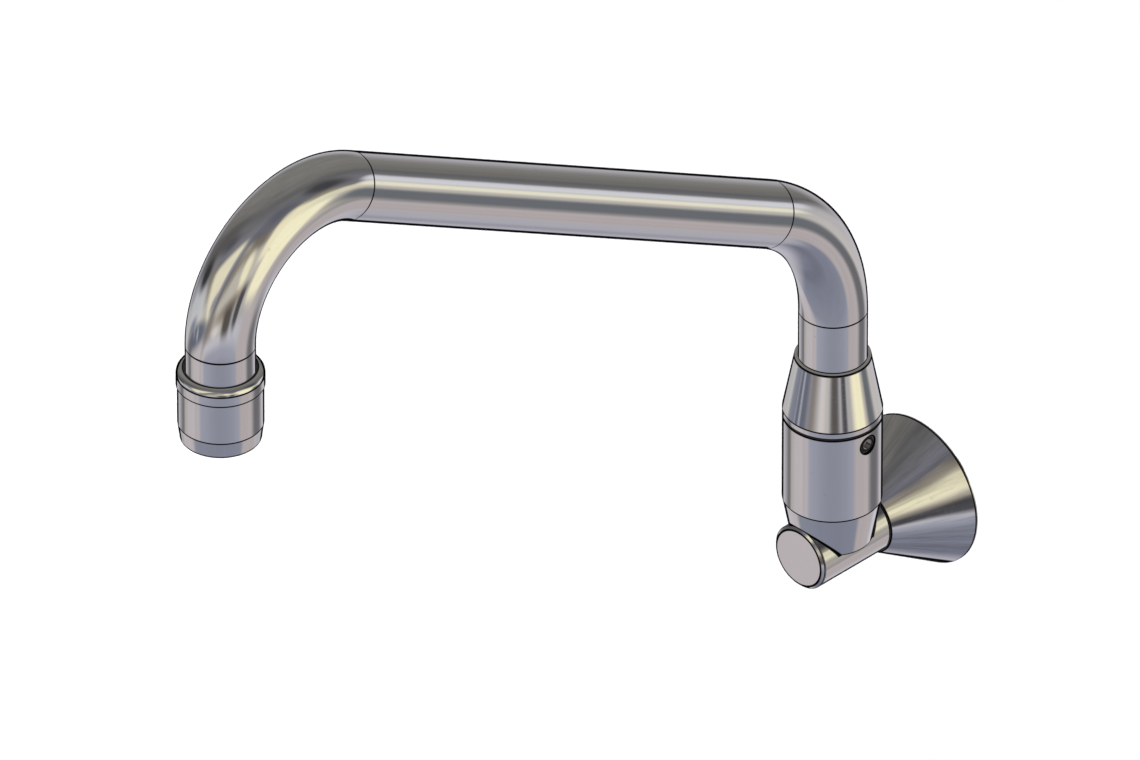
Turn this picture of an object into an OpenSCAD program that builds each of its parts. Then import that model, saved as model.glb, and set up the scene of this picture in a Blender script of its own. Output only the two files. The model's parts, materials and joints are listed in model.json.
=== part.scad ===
// Wall-mounted swivel spout for a professional kitchen sink.
// A chromed tube rises from a swivel socket, leans out over the sink and turns
// down to an aerator. A short pipe with a threaded stub holds it on the wall.
// Frame: origin on the inlet axis in the wall plane, +Y into the wall,
// -Y out into the room, +Z up. Millimetres.

/* [Spout tube] */
// Outside diameter of the tube
tube_d = 28; // [27:0.5:28]
// Wall thickness of the tube
tube_wall = 1.5; // [1:0.1:1.5]
// Height of the first bend's start above the inlet axis
riser_h = 113; // [100:1:180]
// Rise of the leaning arm above the horizontal
arm_rise = 28.947; // [15:0.001:45]
// Length of the straight arm between its two bends
arm_len = 267; // [150:1:400]
// Centre-line radius of the lower bend
lower_bend_r = 74; // [50:1:100]
// Centre-line radius of the upper bend
upper_bend_r = 47; // [40:1:70]
// Straight tube that shows below the upper bend
outlet_drop = 10.7; // [4:0.1:40]

/* [Wall connection] */
// Distance from the wall to the swivel axis
wall_gap = 50; // [48:0.5:60]
// Outside diameter of the rosette at the wall
rosette_d = 65.6; // [60:0.2:80]
// Outside diameter of the inlet thread, G 3/4
inlet_thread_d = 26.44; // [20.96:0.02:26.44]
// Length of the inlet thread beyond the wall plane
inlet_thread_len = 14; // [10:0.5:20]
// Bore of the inlet stub
inlet_bore_d = 17; // [12:0.5:18]

/* [Swivel socket] */
// Outside diameter of the socket
socket_d = 40.5; // [40:0.1:42]
// Height of the socket's top face
socket_top = 62.1; // [61:0.1:64]
// Height where the lower cone of the socket ends
socket_cone_top = 22.5; // [20:0.5:24]
// Bore that the spout turns in
swivel_bore_d = 31; // [30.9:0.1:31.2]
// Swing of the spout to each side, set by the stop slot
swing_deg = 90; // [30:5:100]
// Height of the set screw
screw_z = 56.2; // [56:0.1:56.4]

/* [Cone sleeve] */
// Height of the plain band at the sleeve's foot
sleeve_band_h = 2.7; // [2:0.1:4]
// Height of the cone's top above the inlet axis
sleeve_top = 90.7; // [86:0.1:96]
// Diameter of the cone's top
sleeve_top_d = 31; // [30.6:0.1:33]

/* [Outlet] */
// Outside diameter of the collar on the tube's end
collar_d = 35.3; // [35:0.1:37]
// Radius of the collar's rounded shoulder
collar_round = 2.8; // [1.5:0.1:3]
// Height of the collar
collar_h = 7.5; // [7:0.1:9]
// Outside diameter of the aerator's housing
housing_d = 34.3; // [34:0.1:35]
// Height of the housing's straight part
housing_straight_h = 17.8; // [16:0.1:20]
// Height of the tapered lip below it
housing_taper_h = 7.3; // [6:0.1:9]
// Diameter of the housing's lower end
housing_end_d = 32.4; // [31:0.1:34]
// Outside diameter of the outlet thread, M28
outlet_thread_d = 28; // [27.5:0.1:28]

/* [Hidden] */
$fn = 96;

chrome = [0.72, 0.72, 0.74];
brass = [0.78, 0.62, 0.32];
polymer = [0.12, 0.12, 0.13];
white_polymer = [0.88, 0.89, 0.88];
rubber = [0.08, 0.08, 0.08];
steel = [0.55, 0.56, 0.58];

eps = 0.01;
braze_gap = 0.05;
run_gap = 0.05;
tube_r = tube_d / 2;
tube_bore_r = tube_r - tube_wall;

// Swivel axis and the two bends, in the plane x = 0
axis_y = -wall_gap;
turn_deg = 90 - arm_rise;
lower_end = [axis_y - lower_bend_r * (1 - cos(turn_deg)),
    riser_h + lower_bend_r * sin(turn_deg)];
upper_start = lower_end + arm_len * [-cos(arm_rise), sin(arm_rise)];
upper_centre = upper_start + upper_bend_r * [-sin(arm_rise), -cos(arm_rise)];
outlet_y = upper_centre[0] - upper_bend_r;

// Inlet pipe
pipe_r = 14;
pipe_bore_r = 11;
pipe_front = axis_y - 17.7;
pipe_back = -3;
port_r = 8;
plug_chamfer = 1.3;
plug_spigot_len = 6.5;
nipple_spigot_len = 15;
nipple_chamfer = 1;

// Swivel socket
socket_r = socket_d / 2;
socket_bore_r = swivel_bore_d / 2;
socket_foot = 3.3;
socket_foot_r = 16.6;
socket_bore_floor = 24;
socket_mouth_chamfer = 0.5;

// Swivel spigot on the lower end of the tube
spigot_r = socket_bore_r - 0.1;
spigot_foot = socket_bore_floor + 1;
spigot_top = 61;
spigot_neck_top = 84;
spigot_bore_r = 9.5;
bearing_groove_r = 13.9;
bearing_h = 6;
seal_groove_r = 13.3;
seal_groove_h = 3.4;
seal_section_r = 1.05;
bearing_z = [27, 45.6];
seal_z = [35, 40.2];
groove_gap = 0.1;

// Stop slot in the spigot and the set screw that runs in it
screw_r = 4;
screw_dog_r = 2.75;
screw_dog_tip = 13.1;
screw_dog_root = 15.6;
screw_face = 19.6;
hex_key = 4;
hex_depth = 2.6;
slot_floor_r = 12.6;
slot_half_h = screw_dog_r + 0.2;
slot_end_play_deg = 0.8;

// Cone sleeve over the joint
washer_h = 0.8;
washer_r = 19.9;
washer_bore_r = 14.6;
sleeve_foot = socket_top + washer_h;
sleeve_bore_r = tube_r + braze_gap;
grip_ring_section_r = 0.9;
sleeve_ring_z = 79;

// Rosette
rosette_r = rosette_d / 2;
rosette_front_r = 14.5;
rosette_front = axis_y + 19;
rosette_edge = 0.8;
rosette_wall = 2.2;
rosette_bore_r = pipe_r + 0.1;
rosette_hub_len = 7;
rosette_slope = (rosette_r - rosette_front_r) / (-rosette_edge - rosette_front);
rosette_ring_y = rosette_front + 4.9;
gasket_h = 2.2;
gasket_seat_r = rosette_r - 2;
gasket_bore_r = gasket_seat_r - 3.6;

// Outlet collar and aerator, as heights above the inlet axis
collar_top = upper_centre[1] - outlet_drop;
collar_foot = collar_top - collar_h;
collar_r = collar_d / 2;
collar_recess_r = tube_r + 0.85;
collar_recess_h = 1.2;
tube_stop = collar_foot + 1.5;
neck_r = outlet_thread_d / 2;
neck_foot = collar_foot - 9.7;
neck_bore_r = 11.5;
housing_foot = collar_foot - housing_straight_h - housing_taper_h;
housing_r = housing_d / 2;
housing_thread_r = neck_r + run_gap;
thread_relief_r = neck_r + 0.35;
cavity_r = 13.2;
lip_r = 11.4;
lip_h = 2.4;

// Aerator cartridge and what it holds
insert_foot = housing_foot + lip_h;
insert_r = cavity_r - 0.1;
insert_bore_r = 11.6;
gasket_section = 1.9;
insert_top = neck_foot - gasket_section - run_gap;
inner_r = insert_bore_r - run_gap;
ledge_r = 10.9;
ledge_h = 0.6;
grid_h = 2;
screen_h = 0.4;
screen_z = [insert_foot + 3.4, insert_foot + 4.6];
plate_z = insert_foot + 6.2;
plate_h = 1.2;
strainer_z = insert_top - 1.4;
strainer_r = 10.4;

// Moves children onto the swivel axis
module on_axis() {
    translate([0, axis_y, 0]) children();
}

// Moves children onto the outlet axis
module on_outlet() {
    translate([0, outlet_y, 0]) children();
}

// Turns a solid of revolution about Z into one about Y, z becoming y
module along_y() {
    rotate([-90, 0, 0]) children();
}

// Ring of rectangular section
module ring(r_out, r_in, z, h) {
    translate([0, 0, z]) difference() {
        cylinder(r = r_out, h = h);
        translate([0, 0, -1]) cylinder(r = r_in, h = h + 2);
    }
}

// Round-section sealing ring that fills its gland
module o_ring(r_in, section_r, z) {
    translate([0, 0, z]) rotate_extrude()
        translate([r_in + section_r, 0]) circle(r = section_r, $fn = 32);
}

// Split slide ring that snaps into its groove
module slide_ring(z) {
    slit = 0.9;
    on_axis() difference() {
        ring(socket_bore_r - run_gap, bearing_groove_r + groove_gap,
            z + groove_gap, bearing_h - 2 * groove_gap);
        rotate([0, 0, 200]) translate([socket_bore_r - 1, 0, z + bearing_h / 2])
            rotate([35, 0, 0]) cube([6, slit, 2 * bearing_h], center = true);
    }
}

module tube_section() {
    difference() {
        circle(r = tube_r);
        circle(r = tube_bore_r);
    }
}

module straight_tube(len) {
    linear_extrude(height = len) tube_section();
}

// Moves children from the start of a bend to its end. The path runs along +Z
// and the bend leans it towards -Y.
module past_bend(bend_r, sweep_deg) {
    translate([0, -bend_r, 0]) rotate([sweep_deg, 0, 0])
        translate([0, bend_r, 0]) children();
}

// A ring cut by the planes of its two end faces, so that it meets the straights exactly
module bent_tube(bend_r, sweep_deg) {
    reach = 2 * bend_r + tube_d;
    intersection() {
        translate([0, -bend_r, 0]) rotate([0, 90, 0]) rotate_extrude($fn = 180)
            translate([bend_r, 0]) tube_section();
        translate([-tube_d, -reach, 0]) cube([2 * tube_d, reach + tube_d, reach]);
        past_bend(bend_r, sweep_deg) translate([-tube_d, -reach, -reach])
            cube([2 * tube_d, reach + tube_d, reach]);
    }
}

module spout_tube() {
    riser_len = riser_h - spigot_top;
    color(chrome) on_axis() translate([0, 0, spigot_top]) {
        straight_tube(riser_len);
        translate([0, 0, riser_len]) {
            bent_tube(lower_bend_r, turn_deg);
            past_bend(lower_bend_r, turn_deg) {
                straight_tube(arm_len);
                translate([0, 0, arm_len]) {
                    bent_tube(upper_bend_r, 180 - turn_deg);
                    past_bend(upper_bend_r, 180 - turn_deg)
                        straight_tube(upper_centre[1] - tube_stop - braze_gap);
                }
            }
        }
    }
}

module spigot_grooves() {
    for (z = bearing_z) ring(spigot_r + 1, bearing_groove_r, z, bearing_h);
    for (z = seal_z) ring(spigot_r + 1, seal_groove_r, z, seal_groove_h);
}

// Arc slot that the screw's dog runs in, with round ends
module stop_slot() {
    half = swing_deg + slot_end_play_deg;
    translate([0, 0, screw_z]) {
        rotate([0, 0, -half]) rotate_extrude(angle = 2 * half)
            translate([slot_floor_r, -slot_half_h]) square([6, 2 * slot_half_h]);
        for (a = [-half, half]) rotate([0, 0, a]) rotate([0, 90, 0])
            translate([0, 0, slot_floor_r]) cylinder(r = slot_half_h, h = 6);
    }
}

module swivel_spigot() {
    foot_chamfer = 0.6;
    color(brass) on_axis() difference() {
        union() {
            translate([0, 0, spigot_foot])
                cylinder(r1 = spigot_r - foot_chamfer, r2 = spigot_r, h = foot_chamfer);
            translate([0, 0, spigot_foot + foot_chamfer])
                cylinder(r = spigot_r, h = spigot_top - spigot_foot - foot_chamfer);
            translate([0, 0, spigot_top - 1])
                cylinder(r = tube_bore_r - braze_gap, h = spigot_neck_top - spigot_top + 1);
        }
        translate([0, 0, spigot_foot - 1])
            cylinder(r = spigot_bore_r, h = spigot_neck_top - spigot_foot + 2);
        spigot_grooves();
        stop_slot();
    }
}

module lower_bearing_ring() {
    color(white_polymer) slide_ring(bearing_z[0]);
}

module upper_bearing_ring() {
    color(white_polymer) slide_ring(bearing_z[1]);
}

module spigot_seal(z) {
    on_axis() o_ring(seal_groove_r + 0.03, seal_section_r, z + seal_groove_h / 2);
}

module lower_o_ring() {
    color(rubber) spigot_seal(seal_z[0]);
}

module upper_o_ring() {
    color(rubber) spigot_seal(seal_z[1]);
}

module inlet_pipe() {
    color(chrome) difference() {
        translate([0, pipe_front, 0]) along_y() cylinder(r = pipe_r, h = pipe_back - pipe_front);
        translate([0, pipe_front - 1, 0]) along_y()
            cylinder(r = pipe_bore_r, h = pipe_back - pipe_front + 2);
        on_axis() cylinder(r = port_r, h = pipe_r + 2);
    }
}

module end_plug() {
    color(chrome) {
        translate([0, pipe_front - plug_chamfer, 0]) along_y()
            cylinder(r1 = pipe_r - plug_chamfer, r2 = pipe_r, h = plug_chamfer);
        translate([0, pipe_front, 0]) along_y()
            cylinder(r = pipe_bore_r - braze_gap, h = plug_spigot_len);
    }
}

module inlet_nipple() {
    thread_r = inlet_thread_d / 2;
    color(brass) difference() {
        union() {
            translate([0, pipe_back - nipple_spigot_len, 0]) along_y()
                cylinder(r = pipe_bore_r - braze_gap, h = nipple_spigot_len);
            translate([0, pipe_back, 0]) along_y() cylinder(r = pipe_r, h = -pipe_back);
            along_y() cylinder(r = thread_r, h = inlet_thread_len);
            translate([0, inlet_thread_len, 0]) along_y()
                cylinder(r1 = thread_r, r2 = thread_r - nipple_chamfer, h = nipple_chamfer);
        }
        translate([0, pipe_back - nipple_spigot_len - 1, 0]) along_y()
            cylinder(d = inlet_bore_d, h = nipple_spigot_len + inlet_thread_len + 10);
    }
}

module socket_body() {
    color(chrome) difference() {
        on_axis() difference() {
            union() {
                translate([0, 0, socket_foot]) cylinder(r1 = socket_foot_r, r2 = socket_r,
                    h = socket_cone_top - socket_foot);
                translate([0, 0, socket_cone_top])
                    cylinder(r = socket_r, h = socket_top - socket_cone_top);
            }
            cylinder(r = port_r, h = socket_bore_floor + 1);
            translate([0, 0, socket_bore_floor]) cylinder(r = socket_bore_r, h = socket_top);
            translate([0, 0, socket_top - socket_mouth_chamfer])
                cylinder(r1 = socket_bore_r, r2 = socket_bore_r + 2 * socket_mouth_chamfer,
                    h = 2 * socket_mouth_chamfer);
            translate([0, 0, screw_z]) rotate([0, 90, 0]) cylinder(r = screw_r, h = socket_d);
        }
        translate([0, pipe_front - 10, 0]) along_y()
            cylinder(r = pipe_r + braze_gap, h = wall_gap + 10);
    }
}

module wall_rosette() {
    hub_end = rosette_front + rosette_hub_len;
    hub_end_r = rosette_front_r + rosette_slope * rosette_hub_len - rosette_wall;
    cavity_end_r = hub_end_r + rosette_slope * (-gasket_h - hub_end);
    color(chrome) along_y() difference() {
        union() {
            translate([0, 0, rosette_front]) cylinder(r1 = rosette_front_r, r2 = rosette_r,
                h = -rosette_edge - rosette_front);
            translate([0, 0, -rosette_edge]) cylinder(r = rosette_r, h = rosette_edge);
        }
        translate([0, 0, rosette_front - 1]) cylinder(r = rosette_bore_r, h = wall_gap);
        translate([0, 0, hub_end])
            cylinder(r1 = hub_end_r, r2 = cavity_end_r, h = -gasket_h - hub_end);
        translate([0, 0, -gasket_h - eps]) cylinder(r = gasket_seat_r, h = gasket_h + 1);
        ring(rosette_bore_r + 2 * grip_ring_section_r - 0.15, rosette_bore_r - 1,
            rosette_ring_y - grip_ring_section_r - 0.1, 2 * grip_ring_section_r + 0.2);
    }
}

module rosette_grip_ring() {
    color(rubber) along_y() o_ring(pipe_r + 0.03, grip_ring_section_r - 0.05, rosette_ring_y);
}

module rosette_gasket() {
    color(rubber) along_y() ring(gasket_seat_r - run_gap, gasket_bore_r, -gasket_h, gasket_h);
}

module set_screw() {
    color(steel) on_axis() translate([0, 0, screw_z]) rotate([0, 90, 0]) difference() {
        union() {
            translate([0, 0, screw_dog_tip])
                cylinder(r = screw_dog_r, h = screw_dog_root - screw_dog_tip);
            translate([0, 0, screw_dog_root])
                cylinder(r = screw_r - braze_gap, h = screw_face - screw_dog_root - 0.5);
            translate([0, 0, screw_face - 0.5])
                cylinder(r1 = screw_r - braze_gap, r2 = screw_r - 0.6, h = 0.5);
        }
        translate([0, 0, screw_face - hex_depth])
            cylinder(d = hex_key / cos(30), h = hex_depth + 1, $fn = 6);
    }
}

module slide_washer() {
    color(polymer) on_axis() ring(washer_r, washer_bore_r, socket_top, washer_h - run_gap);
}

module cone_sleeve() {
    cone_foot = sleeve_foot + sleeve_band_h;
    color(chrome) on_axis() difference() {
        union() {
            translate([0, 0, sleeve_foot]) cylinder(r = socket_r, h = sleeve_band_h);
            translate([0, 0, cone_foot])
                cylinder(r1 = socket_r, r2 = sleeve_top_d / 2, h = sleeve_top - cone_foot);
        }
        translate([0, 0, sleeve_foot - 1])
            cylinder(r = sleeve_bore_r, h = sleeve_top - sleeve_foot + 2);
        ring(sleeve_bore_r + 2 * grip_ring_section_r - 0.1, sleeve_bore_r - 1,
            sleeve_ring_z - grip_ring_section_r - 0.1, 2 * grip_ring_section_r + 0.2);
    }
}

module sleeve_grip_ring() {
    color(rubber) on_axis() o_ring(tube_r + 0.03, grip_ring_section_r - 0.05, sleeve_ring_z);
}

// Collar with a rounded shoulder, and the threaded neck below it
module outlet_collar() {
    shoulder_z = collar_top - collar_round;
    color(chrome) on_outlet() difference() {
        union() {
            translate([0, 0, collar_foot])
                cylinder(r = collar_r, h = shoulder_z - collar_foot);
            translate([0, 0, shoulder_z - eps])
                cylinder(r = collar_r - collar_round, h = collar_round + eps);
            rotate_extrude() intersection() {
                translate([collar_r - collar_round, shoulder_z]) circle(r = collar_round);
                translate([collar_r - collar_round, shoulder_z]) square(collar_round);
            }
            translate([0, 0, neck_foot]) cylinder(r = neck_r, h = collar_foot - neck_foot + 1);
        }
        translate([0, 0, tube_stop])
            cylinder(r = tube_r + braze_gap, h = collar_top - tube_stop + 1);
        translate([0, 0, collar_top - collar_recess_h])
            cylinder(r = collar_recess_r, h = collar_recess_h + 1);
        translate([0, 0, neck_foot - 1])
            cylinder(r = neck_bore_r, h = collar_h + 20);
    }
}

// Seal in the collar's recess, around the tube
module collar_seal() {
    seal_inset = 0.1;
    color(rubber) on_outlet() ring(collar_recess_r - seal_inset / 2, tube_r + seal_inset / 2,
        collar_top - collar_recess_h, collar_recess_h - seal_inset);
}

module aerator_housing() {
    color(chrome) on_outlet() difference() {
        union() {
            translate([0, 0, housing_foot]) cylinder(r1 = housing_end_d / 2, r2 = housing_r,
                h = housing_taper_h);
            translate([0, 0, housing_foot + housing_taper_h])
                cylinder(r = housing_r, h = housing_straight_h - run_gap);
        }
        translate([0, 0, housing_foot - 1]) cylinder(r = lip_r, h = lip_h + 2);
        translate([0, 0, insert_foot]) cylinder(r = cavity_r, h = neck_foot - insert_foot);
        translate([0, 0, neck_foot - 1.2]) cylinder(r = thread_relief_r, h = 1.6);
        translate([0, 0, neck_foot]) cylinder(r = housing_thread_r, h = collar_foot);
    }
}

module aerator_gasket() {
    color(rubber) on_outlet() ring(insert_r, strainer_r + 0.1, insert_top, gasket_section);
}

module aerator_cartridge() {
    color(white_polymer) on_outlet() difference() {
        translate([0, 0, insert_foot]) cylinder(r = insert_r, h = insert_top - insert_foot);
        translate([0, 0, insert_foot - 1]) cylinder(r = ledge_r, h = ledge_h + 2);
        translate([0, 0, insert_foot + ledge_h]) cylinder(r = insert_bore_r, h = insert_top);
        ring(insert_r + 1, insert_r - 0.7, insert_foot + 2, insert_top - insert_foot - 4);
    }
}

// Disc with rings of small round holes
module aerator_strainer() {
    hole_r = 0.55;
    color(white_polymer) on_outlet() difference() {
        union() {
            translate([0, 0, strainer_z]) cylinder(r = inner_r, h = insert_top - strainer_z);
            translate([0, 0, insert_top - eps]) cylinder(r = strainer_r, h = 1.6);
        }
        for (k = [1:5]) for (i = [0:6 * k - 1]) rotate([0, 0, i * 60 / k])
            translate([k * 1.85, 0, strainer_z - 1]) cylinder(r = hole_r, h = 6, $fn = 16);
    }
}

module diffuser_plate() {
    jets = 16;
    color(white_polymer) on_outlet() difference() {
        translate([0, 0, plate_z]) cylinder(r = inner_r, h = plate_h);
        for (i = [0:jets - 1]) rotate([0, 0, i * 360 / jets])
            translate([8.4, 0, plate_z - 1]) cylinder(r = 0.7, h = plate_h + 2, $fn = 16);
    }
}

// Two round frames with crossed bars
module aerator_screens() {
    bars = 4;
    pitch = 4;
    color(steel) on_outlet() for (k = [0, 1]) translate([0, 0, screen_z[k]]) {
        ring(inner_r, inner_r - 1, 0, screen_h);
        intersection() {
            cylinder(r = inner_r - 0.5, h = screen_h);
            rotate([0, 0, k * 45]) union() {
                for (i = [-2:2]) translate([i * pitch - 0.3, -inner_r, 0])
                    cube([0.6, 2 * inner_r, screen_h]);
                for (i = [-2:2]) translate([-inner_r, i * pitch - 0.3, 0])
                    cube([2 * inner_r, 0.6, screen_h]);
            }
        }
    }
}

// Honeycomb that smooths the stream
module outlet_grid() {
    cell = 2.9;
    rows = 3;
    step_y = cell * sqrt(3) / 2;
    color(white_polymer) on_outlet() translate([0, 0, insert_foot + ledge_h]) difference() {
        cylinder(r = inner_r, h = grid_h);
        for (j = [-rows:rows]) for (i = [-rows:rows])
            let (x = cell * (i + abs(j % 2) / 2), y = step_y * j)
                if (norm([x, y]) < inner_r - 1.6)
                    translate([x, y, -1]) rotate([0, 0, 30])
                        cylinder(d = cell - 0.4, h = grid_h + 2, $fn = 6);
    }
}

inlet_pipe();
end_plug();
inlet_nipple();
socket_body();
wall_rosette();
rosette_grip_ring();
rosette_gasket();
set_screw();
slide_washer();
spout_tube();
swivel_spigot();
lower_bearing_ring();
lower_o_ring();
upper_o_ring();
upper_bearing_ring();
cone_sleeve();
sleeve_grip_ring();
outlet_collar();
collar_seal();
aerator_housing();
aerator_gasket();
aerator_strainer();
aerator_cartridge();
diffuser_plate();
aerator_screens();
outlet_grid();
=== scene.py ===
"""Wall-mounted swivel spout: looks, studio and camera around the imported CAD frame."""
import json
import math

import bpy
from mathutils import Matrix, Vector


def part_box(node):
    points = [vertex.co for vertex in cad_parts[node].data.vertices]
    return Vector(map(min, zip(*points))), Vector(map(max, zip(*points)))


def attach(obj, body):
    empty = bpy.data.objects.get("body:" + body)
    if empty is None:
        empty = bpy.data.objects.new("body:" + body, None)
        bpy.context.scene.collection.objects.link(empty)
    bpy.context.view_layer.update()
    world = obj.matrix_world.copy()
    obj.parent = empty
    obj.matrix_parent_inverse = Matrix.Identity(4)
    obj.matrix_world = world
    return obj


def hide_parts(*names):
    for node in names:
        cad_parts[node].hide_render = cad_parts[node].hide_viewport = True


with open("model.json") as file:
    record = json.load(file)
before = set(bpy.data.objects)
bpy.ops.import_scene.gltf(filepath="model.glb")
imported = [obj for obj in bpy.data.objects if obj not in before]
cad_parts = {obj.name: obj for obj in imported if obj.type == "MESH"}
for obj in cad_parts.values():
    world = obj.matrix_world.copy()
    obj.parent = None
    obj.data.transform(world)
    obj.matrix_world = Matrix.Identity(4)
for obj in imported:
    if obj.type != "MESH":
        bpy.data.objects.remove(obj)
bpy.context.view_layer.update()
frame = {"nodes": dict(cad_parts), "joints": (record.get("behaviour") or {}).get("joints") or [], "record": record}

MM = 0.001

# ---------------------------------------------------------------- sizes

RIGHTWARD = Vector((1, 0, 0))
INTO_WALL = Vector((0, 1, 0))
UPRIGHT = Vector((0, 0, 1))
OUTWARD = -INTO_WALL

joint = {j["name"]: j for j in frame["joints"]}
AXIS_Y = joint["spout_swivel"]["pos_m"][1]
OUTLET_Y = joint["aerator_unscrew"]["pos_m"][1]
SWIVEL_AXIS = Vector((0, AXIS_Y, 0))
OUTLET_AXIS = Vector((0, OUTLET_Y, 0))


def low(node):
    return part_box(node)[0]


def high(node):
    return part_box(node)[1]


def radius_of(node):
    """Radius of a round piece, from the width of its box."""
    return (high(node).x - low(node).x) / 2


TUBE_R = radius_of("spout_tube")
FIT = 0.05 * MM

# Path of the tube
TUBE_WALL = 1.5 * MM
RISER_TOP = 113 * MM
ARM_RISE = math.radians(28.947)
ARM_LEN = 267 * MM
LOWER_BEND_R = 74 * MM
UPPER_BEND_R = 47 * MM

# Socket, sleeve and plug
SOCKET_R = radius_of("socket_body")
SOCKET_CONE_TOP = 22.5 * MM
SOCKET_FOOT = low("socket_body").z
SOCKET_FOOT_R = 16.6 * MM
SCREW_Z = (low("set_screw").z + high("set_screw").z) / 2
SCREW_R = (high("set_screw").z - low("set_screw").z) / 2
SCREW_KEY_R = 1.9 * MM
SLEEVE_BAND = 2.7 * MM
SLEEVE_TOP_R = 15.5 * MM
PLUG_CHAMFER = 1.3 * MM
PLUG_STEM_R = 10.95 * MM

# Rosette
ROSETTE_NOSE_R = 14.5 * MM
ROSETTE_BORE_R = 14.1 * MM
ROSETTE_RIM = 0.8 * MM
ROSETTE_SKIN = 2.2 * MM
ROSETTE_HUB = 7.0 * MM
GASKET_SEAT = 2.2 * MM
ROSETTE_LIP = 2.0 * MM

# Outlet collar and aerator housing
COLLAR_R = radius_of("outlet_collar")
COLLAR_ROUND = 2.8 * MM
COLLAR_FOOT = high("outlet_collar").z - 7.5 * MM
COLLAR_RECESS_R = TUBE_R + 0.85 * MM
COLLAR_RECESS = 1.2 * MM
TUBE_STOP = COLLAR_FOOT + 1.5 * MM
TUBE_END = TUBE_STOP + FIT
NECK_R = 14.0 * MM
NECK_BORE_R = 11.5 * MM
HOUSING_TAPER = 7.3 * MM
HOUSING_END_R = 16.2 * MM
LIP_R = 11.4 * MM
LIP_H = 2.4 * MM
CAVITY_R = 13.2 * MM

# Threads: pitch and depth
FINE_THREAD = (1.0 * MM, 0.6 * MM)
PIPE_THREAD = (25.4 / 14 * MM, 1.16 * MM)

# Inlet nipple
NIPPLE_COLLAR = 3 * MM
NIPPLE_THREAD_R = 13.22 * MM
NIPPLE_BORE_R = 8.5 * MM
NIPPLE_CHAMFER = 1 * MM

# Width of the dark line where two surfaces meet
LINE = 0.66 * MM

# ---------------------------------------------------------------- shader graph helper


def linear(channel):
    """Linear value of an sRGB channel between 0 and 1."""
    if channel <= 0.04045:
        return channel / 12.92
    return ((channel + 0.055) / 1.055) ** 2.4


def paint(red, green, blue):
    """Linear colour of an sRGB colour given on a 0 to 255 scale."""
    return tuple(linear(c / 255) for c in (red, green, blue)) + (1.0,)


class Graph:
    """Wires shader nodes. Every method returns an output socket."""

    def __init__(self, tree):
        self.tree = tree
        tree.nodes.clear()

    def node(self, kind, **settings):
        made = self.tree.nodes.new(kind)
        for key, value in settings.items():
            setattr(made, key, value)
        return made

    def put(self, socket, value):
        if isinstance(value, bpy.types.NodeSocket):
            self.tree.links.new(value, socket)
        else:
            socket.default_value = value

    def math(self, operation, *values):
        made = self.node("ShaderNodeMath", operation=operation)
        for socket, value in zip(made.inputs, values):
            self.put(socket, value)
        return made.outputs[0]

    def vector(self, operation, a, b=(0.0, 0.0, 0.0)):
        made = self.node("ShaderNodeVectorMath", operation=operation)
        self.put(made.inputs[0], a)
        self.put(made.inputs[1], b)
        return made.outputs["Value" if operation == "DOT_PRODUCT" else "Vector"]

    def change(self, value, start, end, first, last, smooth=False):
        """first at start, last at end, held beyond them."""
        made = self.node("ShaderNodeMapRange")
        made.interpolation_type = "SMOOTHSTEP" if smooth else "LINEAR"
        if start > end:
            start, end, first, last = end, start, last, first
        for name, given in (("Value", value), ("From Min", start), ("From Max", end),
                            ("To Min", first), ("To Max", last)):
            self.put(made.inputs[name], given)
        return made.outputs[0]

    def step(self, value, start, end):
        """Smooth step from 0 at start to 1 at end."""
        return self.change(value, start, end, 0.0, 1.0, smooth=True)

    def mix(self, factor, a, b):
        made = self.node("ShaderNodeMix", data_type="RGBA")
        self.put(made.inputs["Factor"], factor)
        self.put(made.inputs[6], a)
        self.put(made.inputs[7], b)
        return made.outputs[2]

    def noise(self, vector, scale, detail=3.0, roughness=0.55):
        made = self.node("ShaderNodeTexNoise")
        for name, given in (("Vector", vector), ("Scale", scale), ("Detail", detail),
                            ("Roughness", roughness)):
            self.put(made.inputs[name], given)
        return made.outputs["Fac"]

    def cells(self, vector, scale):
        made = self.node("ShaderNodeTexVoronoi")
        self.put(made.inputs["Vector"], vector)
        self.put(made.inputs["Scale"], scale)
        return made.outputs["Distance"]

    def ramp(self, value, stops):
        made = self.node("ShaderNodeValToRGB")
        made.color_ramp.interpolation = "EASE"
        points = made.color_ramp.elements
        while len(points) < len(stops):
            points.new(0.5)
        for point, (place, colour) in zip(points, stops):
            point.position = place
            point.color = colour
        self.put(made.inputs[0], value)
        return made.outputs[0]

    def bump(self, height, strength, distance, normal=None):
        made = self.node("ShaderNodeBump")
        self.put(made.inputs["Height"], height)
        self.put(made.inputs["Strength"], strength)
        self.put(made.inputs["Distance"], distance)
        if normal is not None:
            self.put(made.inputs["Normal"], normal)
        return made.outputs[0]

    def place(self):
        return self.node("ShaderNodeTexCoord").outputs["Object"]

    def axes(self, vector):
        made = self.node("ShaderNodeSeparateXYZ")
        self.put(made.inputs[0], vector)
        return made.outputs

    def reach(self, a, b):
        """Length of the vector (a, b)."""
        return self.math("SQRT", self.math("ADD", self.math("MULTIPLY", a, a),
                                           self.math("MULTIPLY", b, b)))

    def surface(self, **inputs):
        """Principled surface wired to the material's output."""
        shader = self.node("ShaderNodeBsdfPrincipled")
        for name, value in inputs.items():
            self.put(shader.inputs[name.replace("_", " ")], value)
        out = self.node("ShaderNodeOutputMaterial")
        self.put(out.inputs["Surface"], shader.outputs[0])


# ---------------------------------------------------------------- camera

# Towards the eye, and to the right and up in the picture: an isometric view
BACK = Vector((1, -1, 1)).normalized()
RIGHT = Vector((1, 1, 0)).normalized()
UP = BACK.cross(RIGHT)
AIM = Vector((-0.1016, -0.0967, 0.0504))
EYE_DISTANCE = 14.585
LENS_MM = 1150
SENSOR_MM = 36
CLIP_END = 100


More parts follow.
